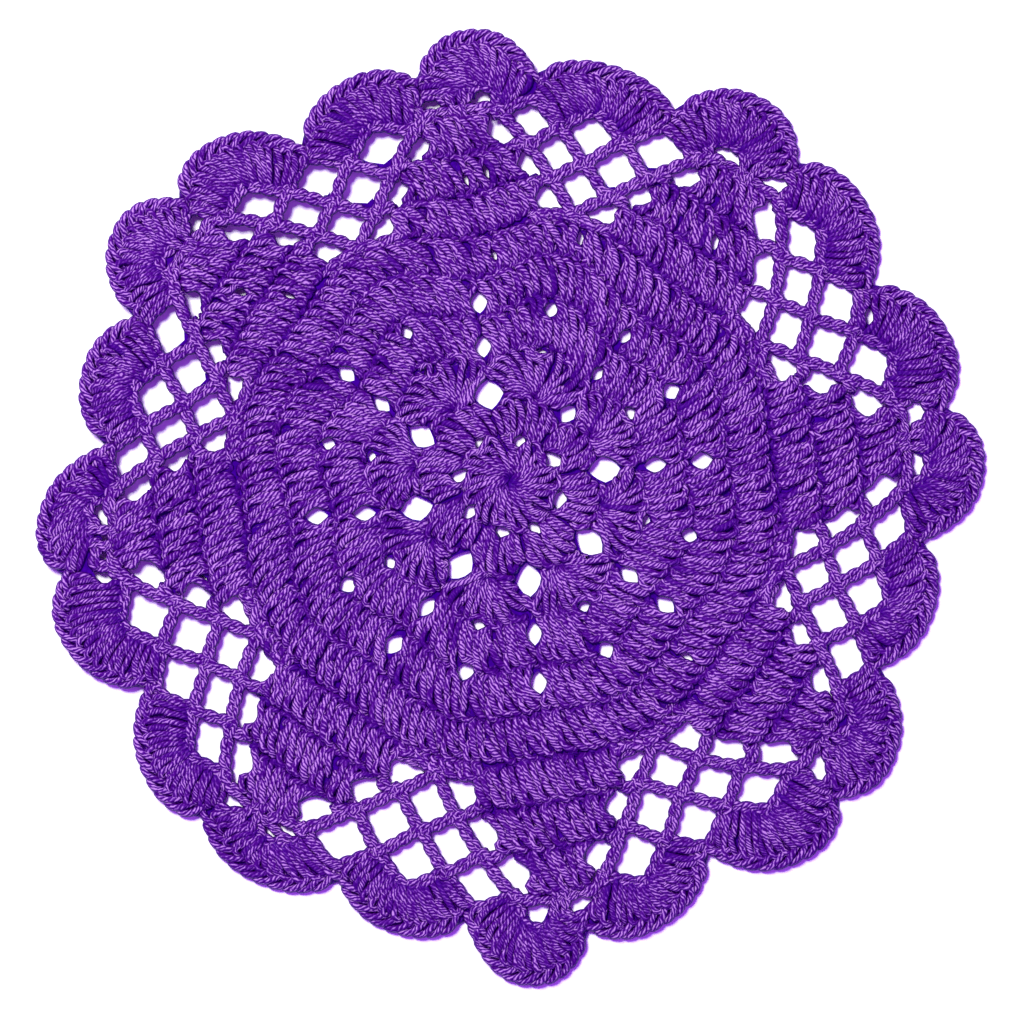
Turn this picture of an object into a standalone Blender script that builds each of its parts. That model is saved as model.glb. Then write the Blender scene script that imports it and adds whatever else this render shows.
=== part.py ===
"""A round crocheted lace doily: one worked piece of cotton yarn, lying flat.

Eight leaf-shaped petals of solid stitches grow out of a ring of gaps. Between
them, eight fans of chain net widen from two holes to five, and a border of
twenty scalloped shells closes the edge. The pattern is laid out evenly on
sixteen spokes, petal and fan in turn, and each spoke then says how far the
hand-worked cloth turned and stretched away from that even layout.

Metres, +Z up. The origin is the centre of the starting ring, on the underside.
"""
import math
from collections import namedtuple

import bmesh
import bpy
from mathutils import Vector
from mathutils.geometry import delaunay_2d_cdt

MM = 0.001

# ---------------------------------------------------------------- the cloth
CREST = 3.4 * MM           # thickness over the middle of a row of stitches
GROOVE = 2.3 * MM          # thickness in the furrow between two rows
EDGE = 2.6 * MM            # thickness at the rim and round each gap
SCALLOP_BED = 2.7 * MM     # thickness of the posts behind a scallop's rim

YARN_PURPLE = (0.105, 0.024, 0.330, 1.0)
YARN_ROUGHNESS = 0.55

# ---------------------------------------------------------------- the layout
SPOKE_COUNT = 16
SPOKE_STEP = 360 / SPOKE_COUNT      # degrees from a petal to the next fan
ROOT_RADIUS = 28 * MM               # inside this, the root columns hold alone
TURN_FADE = 26 * MM                 # how fast a spoke swings from root to rim

# root_at and rim_at are the direction of the spoke at the ring of gaps and at
# the border, in degrees; the stretches scale the even radii at both ends; open
# scales the gaps that lie on the spoke.
Spoke = namedtuple("Spoke", "name root_at rim_at root_stretch rim_stretch open")
SPOKES = (
    Spoke("petal east",         6.0,   5.5, 0.96, 0.98, 1.00),
    Spoke("fan east-north",    29.5,  28.5, 0.94, 0.99, 1.12),
    Spoke("petal north-east",  48.5,  52.5, 0.88, 0.95, 0.65),
    Spoke("fan north-east",    75.5,  77.0, 0.89, 0.95, 0.92),
    Spoke("petal north",      105.0,  98.0, 0.89, 0.92, 1.00),
    Spoke("fan north-west",   131.0, 122.3, 0.95, 0.96, 0.80),
    Spoke("petal north-west", 155.0, 143.8, 1.01, 0.98, 0.90),
    Spoke("fan west-north",   173.5, 166.5, 1.00, 0.98, 0.84),
    Spoke("petal west",       198.0, 187.5, 1.00, 1.00, 1.00),
    Spoke("fan west-south",   217.5, 210.7, 1.03, 1.03, 1.05),
    Spoke("petal south-west", 240.5, 232.2, 1.01, 1.03, 1.00),
    Spoke("fan south-west",   259.5, 255.4, 1.04, 1.05, 1.10),
    Spoke("petal south",      280.5, 276.7, 1.04, 1.04, 1.00),
    Spoke("fan south-east",   301.5, 298.2, 1.03, 1.04, 1.05),
    Spoke("petal south-east", 321.5, 320.8, 1.03, 1.00, 1.00),
    Spoke("fan east-south",   344.0, 342.0, 0.99, 1.00, 0.95),
)

# One row for each kind of gap in the solid middle: it repeats on the eight
# petals or on the eight fans.
Gap = namedtuple("Gap", "name on radius width height")
GAPS = (
    Gap("ring gap",  "petal", 29.4 * MM, 7.6 * MM, 9.4 * MM),
    Gap("shell gap", "petal", 45.0 * MM, 4.4 * MM, 6.4 * MM),
    Gap("leaf gap",  "petal", 59.2 * MM, 4.8 * MM, 6.4 * MM),
    Gap("fan gap",   "fan",   56.4 * MM, 4.2 * MM, 4.6 * MM),
)

# One row for each round of the chain net. rise lifts the holes towards the
# petals on both sides, and climb lifts them from one side to the other, both
# as millimetres at a petal's axis.
NetRow = namedtuple("NetRow", "holes radius pitch rise climb width height")
NET = (
    NetRow(2,  90.0 * MM, 10.9,  0 * MM, 6.0 * MM,  8.8 * MM, 6.8 * MM),
    NetRow(3,  96.3 * MM, 10.4, 20 * MM, 3.5 * MM, 11.2 * MM, 8.4 * MM),
    NetRow(4, 105.2 * MM, 10.4, 15 * MM, 1.5 * MM, 13.0 * MM, 9.2 * MM),
    NetRow(5, 113.0 * MM, 10.3, 15 * MM, 0.8 * MM, 13.2 * MM, 9.0 * MM),
)
FLANK_SHRINK = 0.24        # how much smaller a row's outermost holes are
BORDER_SHRINK = 0.55       # the same for the last row, which ends at the petals
BORDER_TUCK = 2.3          # degrees that those last holes sit nearer their fan
CLOSED = {(7, 0), (15, 0)}  # the last row's holes that a scallop covers: spoke, hole
HOLE_SQUARENESS = 1.35     # 1 is a diamond and 2 an ellipse
HOLE_POINTS = 8

# The border, anticlockwise. Each row is the notch that ends a scallop, and how
# far that scallop's crown stands out beyond the line between its two notches.
Scallop = namedtuple("Scallop", "notch_at notch_reach crown")
SCALLOPS = (
    Scallop(  9.7, 133 * MM, 12.5 * MM),
    Scallop( 28.6, 124 * MM, 10.0 * MM),
    Scallop( 48.0, 129 * MM,  9.0 * MM),
    Scallop( 66.4, 122 * MM, 11.5 * MM),
    Scallop( 86.4, 123 * MM,  5.5 * MM),
    Scallop(103.5, 124 * MM, 12.0 * MM),
    Scallop(122.2, 119 * MM,  8.0 * MM),
    Scallop(139.9, 131 * MM, 10.0 * MM),
    Scallop(156.9, 124 * MM, 13.0 * MM),
    Scallop(175.3, 123 * MM,  9.0 * MM),
    Scallop(192.3, 138 * MM, 11.0 * MM),
    Scallop(209.9, 127 * MM, 10.0 * MM),
    Scallop(227.8, 138 * MM,  9.0 * MM),
    Scallop(247.1, 132 * MM,  8.0 * MM),
    Scallop(264.3, 134 * MM,  7.5 * MM),
    Scallop(280.1, 138 * MM, 16.0 * MM),
    Scallop(298.1, 128 * MM,  8.5 * MM),
    Scallop(316.1, 138 * MM, 11.0 * MM),
    Scallop(333.3, 125 * MM, 10.5 * MM),
    Scallop(351.7, 126 * MM,  7.5 * MM),
)
SCALLOP_POINTS = 9
SCALLOP_ROUNDNESS = 2.4

# Furrows between the rounds, at their even radius. Each reaches half_width
# degrees either side of a petal; 22.5 closes it into a full round.
Furrow = namedtuple("Furrow", "radius half_width")
FURROWS = (
    Furrow( 14.5 * MM, 22.5),
    Furrow( 25.0 * MM, 22.5),
    Furrow( 40.5 * MM, 22.5),
    Furrow( 54.0 * MM, 22.5),
    Furrow( 67.5 * MM, 22.5),
    Furrow( 80.5 * MM, 20.5),
    Furrow( 93.5 * MM, 13.0),
    Furrow(106.5 * MM,  7.5),
)
RELIEF_STEP = 7.5 * MM     # between two points along a furrow or a crest
CLEARANCE = 1.3 * MM       # kept between those points and any edge
NEARBY = 30 * MM           # gaps further off than this can't touch a point
BED_INSET = 7.0 * MM       # from a scallop's outline to the middle of its posts


# ---------------------------------------------------------------- the warp
def spoke_value(column, place):
    """A column of SPOKES read smoothly at a place counted in spokes."""
    low = math.floor(place)
    t = place - low
    values = []
    for offset in (-1, 0, 1, 2):
        turns, index = divmod(low + offset, SPOKE_COUNT)
        whole_turns = 360 * turns if column.endswith("_at") else 0
        values.append(getattr(SPOKES[index], column) + whole_turns)
    before, start, end, after = values
    return start + 0.5 * t * (
        end - before
        + t * (2 * before - 5 * start + 4 * end - after
               + t * (3 * (start - end) + after - before))
    )


def laid(angle, radius):
    """Where a point of the even pattern lies in the finished cloth."""
    place = angle / SPOKE_STEP
    swing = 1 - math.exp(-max(0.0, radius - ROOT_RADIUS) / TURN_FADE)
    root_at = spoke_value("root_at", place)
    rim_at = spoke_value("rim_at", place)
    root_stretch = spoke_value("root_stretch", place)
    rim_stretch = spoke_value("rim_stretch", place)
    direction = math.radians(root_at + swing * (rim_at - root_at))
    reach = radius * (root_stretch + swing * (rim_stretch - root_stretch))
    return Vector((reach * math.cos(direction), reach * math.sin(direction)))


# ---------------------------------------------------------------- outlines
def hole_outline(angle, radius, width, height):
    """A rounded diamond, pointed along the round, about a point of the pattern."""
    outline = []
    for k in range(HOLE_POINTS):
        turn = 2 * math.pi * k / HOLE_POINTS
        out, along = math.cos(turn), math.sin(turn)
        size = (abs(along) ** HOLE_SQUARENESS + abs(out) ** HOLE_SQUARENESS)
        size = size ** (-1 / HOLE_SQUARENESS)
        aside = math.degrees(0.5 * width * along * size / radius)
        outline.append(laid(angle + aside, radius + 0.5 * height * out * size))
    return outline


def middle_gaps():
    for gap in GAPS:
        first = 0 if gap.on == "petal" else 1
        for spoke in range(first, SPOKE_COUNT, 2):
            size = SPOKES[spoke].open
            yield hole_outline(spoke * SPOKE_STEP, gap.radius, gap.width * size,
                               gap.height * size)


def net_holes():
    for spoke in range(1, SPOKE_COUNT, 2):
        for row in NET:
            last = row is NET[-1]
            for k in range(row.holes):
                if last and (spoke, k) in CLOSED:
                    continue
                side = 2 * k / (row.holes - 1) - 1
                flank = side ** 3 if row.holes > 2 else 0
                aside = side * (row.holes - 1) / 2 * row.pitch
                aside -= flank * BORDER_TUCK if last else 0
                share = aside / SPOKE_STEP
                radius = row.radius + row.rise * share ** 2 + row.climb * share
                shrink = BORDER_SHRINK if last else FLANK_SHRINK
                size = SPOKES[spoke].open * (1 - shrink * abs(flank))
                yield hole_outline(spoke * SPOKE_STEP + aside, radius,
                                   row.width * size, row.height * size)


def border(inset=0.0):
    """The scalloped rim, or the same line drawn in by inset along each crown."""
    outline = []
    for k, scallop in enumerate(SCALLOPS):
        start = SCALLOPS[k - 1]
        span = (scallop.notch_at - start.notch_at) % 360
        for step in range(SCALLOP_POINTS):
            share = step / SCALLOP_POINTS
            hump = 1 - abs(2 * share - 1) ** SCALLOP_ROUNDNESS
            notch_line = start.notch_reach + share * (scallop.notch_reach - start.notch_reach)
            reach = notch_line + scallop.crown * hump - inset
            direction = math.radians(start.notch_at + share * span)
            outline.append(Vector((reach * math.cos(direction), reach * math.sin(direction))))
    return outline


# ---------------------------------------------------------------- relief
def arc_points(radius, half_width):
    """Points of the pattern every RELIEF_STEP along one furrow on all petals."""
    steps = max(2, round(2 * math.radians(half_width) * radius / RELIEF_STEP))
    for petal in range(0, SPOKE_COUNT, 2):
        for k in range(steps):
            aside = half_width * (2 * (k + 0.5) / steps - 1)
            yield laid(petal * SPOKE_STEP + aside, radius)


def relief_points():
    """(point, thickness) pairs: furrows, the crests between them, scallop beds."""
    inner = 0.0
    for furrow in FURROWS:
        for point in arc_points(0.5 * (inner + furrow.radius), furrow.half_width):
            yield point, CREST
        for point in arc_points(furrow.radius, furrow.half_width):
            yield point, GROOVE
        inner = furrow.radius
    for k, point in enumerate(border(BED_INSET)):
        if 2 <= k % SCALLOP_POINTS <= SCALLOP_POINTS - 2:
            yield point, SCALLOP_BED


def distance_to_loop(point, loop):
    best = math.inf
    for k, end in enumerate(loop):
        start = loop[k - 1]
        side = end - start
        t = min(1.0, max(0.0, (point - start).dot(side) / side.length_squared))
        best = min(best, (start + t * side - point).length)
    return best


def inside(point, loop):
    crossed = False
    for k, end in enumerate(loop):
        start = loop[k - 1]
        if (start.y > point.y) != (end.y > point.y):
            x = start.x + (point.y - start.y) / (end.y - start.y) * (end.x - start.x)
            if point.x < x:
                crossed = not crossed
    return crossed


def clear_relief(rim, holes):
    """The relief points that stand clear of every edge and of each other."""
    kept = []
    for point, thickness in relief_points():
        near = [hole for hole in holes if (hole[0] - point).length < NEARBY]
        if not inside(point, rim) or any(inside(point, hole) for hole in near):
            continue
        if min(distance_to_loop(point, loop) for loop in [rim] + near) < CLEARANCE:
            continue
        if any((other - point).length < CLEARANCE for other, _ in kept):
            continue
        kept.append((point, thickness))
    return kept


# ---------------------------------------------------------------- the solid
WHOLE_HULL = 0             # the triangulation covers the gaps too, and says so
SNAP = 1e-7                # points closer than this would be one point
SHARP_ANGLE = 40           # degrees, above which an edge is shaded sharp


def sheet_triangles(loops, inner):
    """Triangles of the sheet inside the first loop and outside all the others."""
    points, rings = [], []
    for loop in loops:
        rings.append(list(range(len(points), len(points) + len(loop))))
        points.extend(loop)
    points.extend(inner)
    found, _, faces, origin, _, ring_of = delaunay_2d_cdt(points, [], rings, WHOLE_HULL, SNAP, True)
    assert len(found) == len(points), "two edges of the cloth cross"
    index = [ids[0] for ids in origin]
    return [[index[v] for v in face] for face, ids in zip(faces, ring_of) if ids == [0]]


def cloth_mesh(name):
    rim = border()
    holes = list(middle_gaps()) + list(net_holes())
    loops = [rim] + holes
    relief = clear_relief(rim, holes)
    edge_points = [point for loop in loops for point in loop]

    form = bmesh.new()
    under = [form.verts.new((p.x, p.y, 0.0)) for p in edge_points]
    over = [form.verts.new((p.x, p.y, EDGE)) for p in edge_points]
    over += [form.verts.new((p.x, p.y, z)) for p, z in relief]
    for triangle in sheet_triangles(loops, [p for p, _ in relief]):
        form.faces.new([over[v] for v in triangle])
    for triangle in sheet_triangles(loops, []):
        form.faces.new([under[v] for v in reversed(triangle)])
    first = 0
    for loop in loops:
        for k in range(len(loop)):
            a, b = first + (k - 1) % len(loop), first + k
            form.faces.new((under[a], under[b], over[b], over[a]))
        first += len(loop)
    bmesh.ops.recalc_face_normals(form, faces=form.faces)
    mesh = bpy.data.meshes.new(name)
    form.to_mesh(mesh)
    form.free()
    mesh.shade_smooth()
    mesh.set_sharp_from_angle(angle=math.radians(SHARP_ANGLE))
    return mesh


def yarn_material():
    material = bpy.data.materials.new("purple_cotton")
    material.use_nodes = True
    surface = material.node_tree.nodes["Principled BSDF"]
    surface.inputs["Base Color"].default_value = YARN_PURPLE
    surface.inputs["Roughness"].default_value = YARN_ROUGHNESS
    surface.inputs["Metallic"].default_value = 0.0
    return material


def main():
    for leftover in list(bpy.data.objects):
        bpy.data.objects.remove(leftover, do_unlink=True)
    collection = bpy.data.collections.new("lace_doily")
    bpy.context.scene.collection.children.link(collection)
    doily = bpy.data.objects.new("doily", cloth_mesh("doily"))
    doily.data.materials.append(yarn_material())
    collection.objects.link(doily)


main()
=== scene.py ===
# %% [markdown]
# # A crocheted lace doily
# This file dresses a flat crocheted mat. The imported model is one thin solid
# with the right outline and gaps. What a maker sees first is yarn: thousands of
# short loops of twisted cotton. Here each visible loop is its own small tube,
# over a thin bed of cloth whose dark colour is painted shade, laid by a few drawn
# stitches, tables and rules.

# %% Tools and the imported model
import math
from collections import namedtuple

import bmesh
import bpy
import numpy as np
from mathutils.geometry import delaunay_2d_cdt
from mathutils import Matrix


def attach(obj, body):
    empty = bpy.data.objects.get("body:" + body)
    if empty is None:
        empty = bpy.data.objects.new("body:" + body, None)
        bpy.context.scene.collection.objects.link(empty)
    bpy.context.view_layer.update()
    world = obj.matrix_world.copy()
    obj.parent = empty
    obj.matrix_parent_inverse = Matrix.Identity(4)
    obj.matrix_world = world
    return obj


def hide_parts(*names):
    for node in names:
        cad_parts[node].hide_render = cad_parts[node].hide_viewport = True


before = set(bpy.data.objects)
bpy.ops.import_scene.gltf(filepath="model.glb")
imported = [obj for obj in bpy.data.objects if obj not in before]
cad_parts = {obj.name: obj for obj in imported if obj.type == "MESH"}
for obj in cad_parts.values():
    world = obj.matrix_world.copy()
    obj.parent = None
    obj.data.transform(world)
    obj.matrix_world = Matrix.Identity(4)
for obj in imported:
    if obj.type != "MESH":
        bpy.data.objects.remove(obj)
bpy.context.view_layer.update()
MM = 0.001
luck = np.random.RandomState(29)

# %% [markdown]
# ## Camera
# The mat is seen from straight above. A camera far up with a long lens keeps
# the view nearly parallel. The lens follows from the width that has to fit.

# %% Camera
VIEW_HEIGHT = 1.6
VIEW_WIDTH = 0.3072
VIEW_CENTRE = (0.00045, -0.00975)
MAT_LEVEL = 2.6 * MM
SENSOR_WIDTH = 36


def put(name, data, place=(0, 0, 0)):
    """A new object in the scene."""
    made = bpy.data.objects.new(name, data)
    made.location = place
    bpy.context.scene.collection.objects.link(made)
    return made


camera_data = bpy.data.cameras.new("above")
camera_data.sensor_width = SENSOR_WIDTH
camera_data.lens = SENSOR_WIDTH * (VIEW_HEIGHT - MAT_LEVEL) / VIEW_WIDTH
camera_data.clip_start = 0.01
bpy.context.scene.camera = put("above", camera_data, (*VIEW_CENTRE, VIEW_HEIGHT))
bpy.context.scene.view_settings.view_transform = "Standard"
print("lens", round(camera_data.lens, 1))

# %% [markdown]
# ## Light
# One soft white lamp stands high on the upper left. It lights the floor to
# white and draws short shadows. Light that comes through dyed cotton takes the
# dye's colour, so the shade in the gaps is violet: a violet sky does that.

# %% Lamp and sky
LAMP_PLACE = (-0.56, 0.72, 1.60)
LAMP_WIDTH = 0.60
LAMP_WATTS = 52.0
LAMP_TINT = (1.0, 1.0, 0.98)
SKY_VIOLET = (0.42, 0.085, 1.0, 1)
SKY_STRENGTH = 1.05
lamp_data = bpy.data.lights.new("key", "AREA")
lamp_data.shape = "DISK"
lamp_data.size = LAMP_WIDTH
lamp_data.energy = LAMP_WATTS
lamp_data.color = LAMP_TINT
lamp = put("key", lamp_data, LAMP_PLACE)
lamp.rotation_euler = (-lamp.location).to_track_quat("-Z", "Y").to_euler()
world = bpy.data.worlds.new("studio")
world.use_nodes = True
sky = world.node_tree.nodes["Background"]
sky.inputs["Color"].default_value = SKY_VIOLET
sky.inputs["Strength"].default_value = SKY_STRENGTH
bpy.context.scene.world = world
print("lamp", LAMP_WATTS, "W at", round(lamp.location.length, 2), "m")

# %% [markdown]
# ## Shader sums
# A yarn pattern is a little arithmetic on the piece's map. Plain sums read
# easier than a web of nodes, so a small class wraps a socket, and each sum on it
# adds one Math node. One method adds every other kind of node.


# %% Shader sums
class Value:
    """A number that a material works out for each point of a surface."""

    def __init__(self, graph, socket):
        self.graph = graph
        self.socket = socket

    def __add__(self, other):
        return self.graph.sum("ADD", self, other)

    def __sub__(self, other):
        return self.graph.sum("SUBTRACT", self, other)

    def __mul__(self, other):
        return self.graph.sum("MULTIPLY", self, other)

    def __pow__(self, other):
        return self.graph.sum("POWER", self, other)


class Graph:
    """The nodes of one material."""

    def __init__(self, name):
        self.material = bpy.data.materials.new(name)
        self.material.use_nodes = True
        self.tree = self.material.node_tree
        self.surface = self.tree.nodes["Principled BSDF"]

    def node(self, kind, settings, inputs, output=0):
        made = self.tree.nodes.new(kind)
        for name, value in settings.items():
            setattr(made, name, value)
        for name, value in inputs.items():
            self.feed(made.inputs[name], value)
        return Value(self, made.outputs[output])

    def feed(self, socket, value):
        if isinstance(value, Value):
            self.tree.links.new(value.socket, socket)
        else:
            socket.default_value = value

    def sum(self, operation, a, b=0.0):
        return self.node("ShaderNodeMath", {"operation": operation}, {0: a, 1: b})

    def noise(self, place, scale, detail):
        return self.node("ShaderNodeTexNoise", {"noise_dimensions": "3D"},
                         {"Vector": place, "Scale": scale, "Detail": detail}, "Fac")

    def point_value(self, name):
        """A number that the mesh carries for each of its points."""
        return self.node("ShaderNodeAttribute", {"attribute_name": name}, {}, "Fac")

    def ramp(self, factor, stops):
        made = self.tree.nodes.new("ShaderNodeValToRGB")
        band = made.color_ramp
        while len(band.elements) < len(stops):
            band.elements.new(0.5)
        for element, (place, colour) in zip(band.elements, stops):
            element.position = place
            element.color = colour
        self.feed(made.inputs["Fac"], factor)
        return Value(self, made.outputs["Color"])

    def bump(self, height, strength, distance):
        made = self.node("ShaderNodeBump", {},
                         {"Height": height, "Strength": strength, "Distance": distance}, "Normal")
        self.feed(self.surface.inputs["Normal"], made)

    def finish(self, inputs):
        """Plugs values into the surface; the material is then complete."""
        for name, value in inputs.items():
            self.feed(self.surface.inputs[name], value)
        return self.material


# %% [markdown]
# ## The yarn's finish
# Mercerised cotton is six fine plies, twisted and a little glossy. Each tube
# carries a map: x goes once round it, y runs along it. Stripes of x minus y
# slant round the tube, and six of them are the plies; a little noise bends them.
#
# Each ply gets a painted highlight: a pale streak where it would turn to the light,
# broken by grain; its grooves are painted in shade. Down in the cloth little
# light arrives, deep violet by then. A path tracer finds part of that; the rest
# is painted shade, set by how high the strand lies ("level") and by each point's
# tone and painted shade, two numbers on the mesh. The top of a tube is painted
# lighter than its sides, and its underside is painted lit too, so that the mat
# can be turned over.

# %% Yarn finish
PLIES = 6
PLY_WANDER = 1.7
WANDER_SCALE = 420.0
GRAIN_SCALE = 900.0
PATCH_SCALE = 38.0
FUZZ_SCALE = 2600.0
WHOLE_TURN = 2 * math.pi
DARK_LEVEL = 1.4
LIT_LEVEL = 3.0
# Painted colours: shade for low strands and for grooves, the yarn's own violet, then painted sheen and
# painted highlight on the crests.
PAINTED_SHADE_VIOLET = (0.031, 0.0006, 0.142, 1)
GROOVE_SHADE_VIOLET = (0.037, 0.0006, 0.116, 1)
BODY_VIOLET = (0.064, 0.0028, 0.158, 1)
PAINTED_SHEEN_VIOLET = (0.148, 0.0430, 0.258, 1)
PAINTED_HIGHLIGHT_VIOLET = (0.372, 0.202, 0.425, 1)
YARN_ROUGHNESS = 0.40
YARN_SHEEN = 0.06
SHEEN_TINT = (0.80, 0.45, 1.0, 1)


def yarn_material(name):
    g = Graph(name)
    place = g.node("ShaderNodeUVMap", {"uv_map": "strand"}, {}, "UV")
    around, along = (g.node("ShaderNodeSeparateXYZ", {}, {0: place}, axis) for axis in "XY")
    spot = g.node("ShaderNodeTexCoord", {}, {}, "Object")
    # Each point's random tone times its painted shade at a stitch's foot.
    tone = g.point_value("tone")
    # Six plies: 1 on the crest of a ply, 0 in the groove beside it.
    turn = (around - along) * PLIES + (g.noise(spot, WANDER_SCALE, 2.0) - 0.5) * PLY_WANDER
    ply = g.sum("COSINE", turn * WHOLE_TURN) * 0.5 + 0.5
    # Which way this side of the tube looks: up, sideways or down.
    upward = g.sum("SINE", around * WHOLE_TURN)
    # Painted light: the top of a tube is painted lighter than its sides, and the underside (next line) is
    # painted lit as well.
    top_light = upward * 0.5 + 0.5
    underside_light = g.sum("MAXIMUM", upward * -1.0)
    # Painted shade: strands that lie lower in the cloth are painted darker.
    height_light = g.node("ShaderNodeMapRange", {"interpolation_type": "SMOOTHSTEP"},
                   {"Value": g.point_value("level"), "From Min": DARK_LEVEL, "From Max": LIT_LEVEL,
                    "To Min": 0.0, "To Max": 1.0}, 0)
    light = ((top_light ** 2.0) * (height_light * 0.75 + 0.25) + underside_light) * tone
    # Painted highlight: a pale streak on each ply's crest, broken by grain; large random patches are added
    # to it.
    ply_highlight = (ply ** 1.8) * (g.noise(spot, GRAIN_SCALE, 1.0) * 3.0 - 0.62)
    patches = (g.noise(spot, PATCH_SCALE, 1.0) - 0.5) * 0.12
    shine_and_patches = ply_highlight * light * 0.95 + light * 0.12 + patches
    # The ramp runs from painted shade in the grooves through the yarn's own violet to painted sheen and
    # painted highlight.
    bright = g.ramp(shine_and_patches, (
        (0.00, GROOVE_SHADE_VIOLET),
        (0.30, BODY_VIOLET),
        (0.52, PAINTED_SHEEN_VIOLET),
        (0.88, PAINTED_HIGHLIGHT_VIOLET),
    ))
    # Where the painted light is low, the colour fades to the painted shade violet.
    share = (height_light + underside_light) * tone * 1.4 + shine_and_patches
    colour = g.node("ShaderNodeMix", {"data_type": "RGBA"}, {0: share, 6: PAINTED_SHADE_VIOLET, 7: bright}, 2)
    g.bump((ply ** 0.7) + g.noise(spot, FUZZ_SCALE, 1.0) * 0.15, 0.6, 0.28 * MM)
    return g.finish({"Base Color": colour, "Roughness": YARN_ROUGHNESS,
                     "Specular IOR Level": YARN_SHEEN, "Specular Tint": SHEEN_TINT})


YARN = yarn_material("purple_cotton_yarn")
print(YARN.name, "has", len(YARN.node_tree.nodes), "nodes")

# %% [markdown]
# ## The even pattern and the worked cloth
# A doily's pattern is even: eight petals and eight fans, one every 22.5
# degrees. A hand-worked one isn't. So each stitch is planned on the even
# pattern, as an angle and a radius, and one function lays it where the real
# cloth turned and stretched. Each spoke says in which direction it lies near the
# middle and at the rim, how far it is stretched at both, and how wide its gaps
# are open. The solid was made from these tables too.

# %% Spokes
SPOKE_COUNT = 16
SPOKE_STEP = 360 / SPOKE_COUNT
PETALS = range(0, SPOKE_COUNT, 2)
FANS = range(1, SPOKE_COUNT, 2)
ROOT_RADIUS = 28 * MM
TURN_FADE = 26 * MM

Spoke = namedtuple("Spoke", "name root_at rim_at root_stretch rim_stretch open")
SPOKES = [Spoke(*row) for row in (
    ("petal east",         6.0,   5.5, 0.96, 0.98, 1.00),
    ("fan east-north",    29.5,  28.5, 0.94, 0.99, 1.12),
    ("petal north-east",  48.5,  52.5, 0.88, 0.95, 0.65),
    ("fan north-east",    75.5,  77.0, 0.89, 0.95, 0.92),
    ("petal north",      105.0,  98.0, 0.89, 0.92, 1.00),
    ("fan north-west",   131.0, 122.3, 0.95, 0.96, 0.80),
    ("petal north-west", 155.0, 143.8, 1.01, 0.98, 0.90),
    ("fan west-north",   173.5, 166.5, 1.00, 0.98, 0.84),
    ("petal west",       198.0, 187.5, 1.00, 1.00, 1.00),
    ("fan west-south",   217.5, 210.7, 1.03, 1.03, 1.05),
    ("petal south-west", 240.5, 232.2, 1.01, 1.03, 1.00),
    ("fan south-west",   259.5, 255.4, 1.04, 1.05, 1.10),
    ("petal south",      280.5, 276.7, 1.04, 1.04, 1.00),
    ("fan south-east",   301.5, 298.2, 1.03, 1.04, 1.05),
    ("petal south-east", 321.5, 320.8, 1.03, 1.00, 1.00),
    ("fan east-south",   344.0, 342.0, 0.99, 1.00, 0.95),
)]

# How far each fan lifts the rounds that pass over it, in millimetres; at a petal they lie level.
RISE = dict(zip(FANS, (2.5, 6.5, 7.0, 6.0, 3.5, 3.0, 3.0, 3.0)))

print(SPOKE_COUNT, "spokes, turned by up to",
      round(max(abs(s.root_at - s.rim_at) for s in SPOKES), 1), "degrees between middle and rim")

# %% [markdown]
# ## Gaps
# Some gaps repeat on every petal or fan. The net of a fan has rows of two to
# five holes: a row bends up towards the petals on both sides (rise) and from one
# side to the other (climb), and its outer holes are smaller. Other openings sit
# where the hand left them, so they are given one by one in millimetres, with the
# direction of the longer side in degrees.

# %% Gaps
Gap = namedtuple("Gap", "name on radius width height")
GAPS = (
    Gap("ring gap",  "petal", 29.4 * MM, 7.6 * MM, 9.4 * MM),
    Gap("shell gap", "petal", 45.0 * MM, 4.4 * MM, 6.4 * MM),
    Gap("leaf gap",  "petal", 59.2 * MM, 4.8 * MM, 6.4 * MM),
    Gap("fan gap",   "fan",   56.4 * MM, 4.2 * MM, 4.6 * MM),
)

# This one is too small for the solid, as all the openings below are.
SMALL_GAPS = (
    Gap("chain gap", "fan", 42.6 * MM, 3.6 * MM, 2.6 * MM),
)

Opening = namedtuple("Opening", "x y long wide lean")
OPENINGS = [Opening(*row) for row in (
    # Round the rosette.
    (  12.4,    6.0, 6.0, 3.2, 146),
    (  14.8,   -6.1, 5.4, 2.8,  73),
    (   7.2,  -14.6, 3.4, 2.0, 160),
    (  -2.3,  -15.8, 4.4, 2.4, 154),
    ( -12.3,   -9.7, 4.0, 2.6,  67),
    ( -15.3,    1.1, 4.4, 2.8,  48),
    (  -9.2,   10.8, 3.4, 2.0,  80),
    (   2.6,   11.6, 4.0, 2.2,   8),
    # At the petals' tips.
    ( 122.0,   20.6, 5.6, 4.6,  94),
    ( 122.5,    4.7, 7.0, 2.6,  86),
    (  64.9,   97.8, 8.6, 2.4, 155),
    (  81.0,   88.9, 5.4, 2.2, 162),
    (  -8.5,  115.3, 5.2, 1.8, 172),
    ( -24.4,  112.5, 5.2, 1.6,  13),
    ( -94.6,   77.2, 4.2, 3.0,  95),
    (-121.4,  -15.0, 6.8, 1.8,  87),
    (-122.0,  -29.5, 3.8, 3.2, 173),
    ( -68.4, -105.2, 8.6, 2.8, 155),
    (   8.1, -131.0, 6.8, 3.8, 178),
    (  20.6, -127.7, 5.8, 3.0,  31),
    (  92.5,  -86.8, 7.4, 4.0, 102),
    # Slits between posts.
    (  -7.3,   92.5, 4.4, 1.3, 111),
    ( -13.3,   89.9, 3.6, 1.1, 118),
    (  -4.9,   67.4, 3.4, 1.1, 116),
    (  61.3,   71.5, 4.2, 1.4,  77),
    ( -66.8,   55.3, 3.8, 1.3, 157),
    ( -80.7,   56.0, 3.0, 1.4, 153),
    (  52.9,  -52.9, 3.5, 1.1, 154),
    ( 107.7,   48.9, 4.0, 1.8, 102),
    (  20.8,   72.2, 3.2, 1.6,  89),
)]

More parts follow.
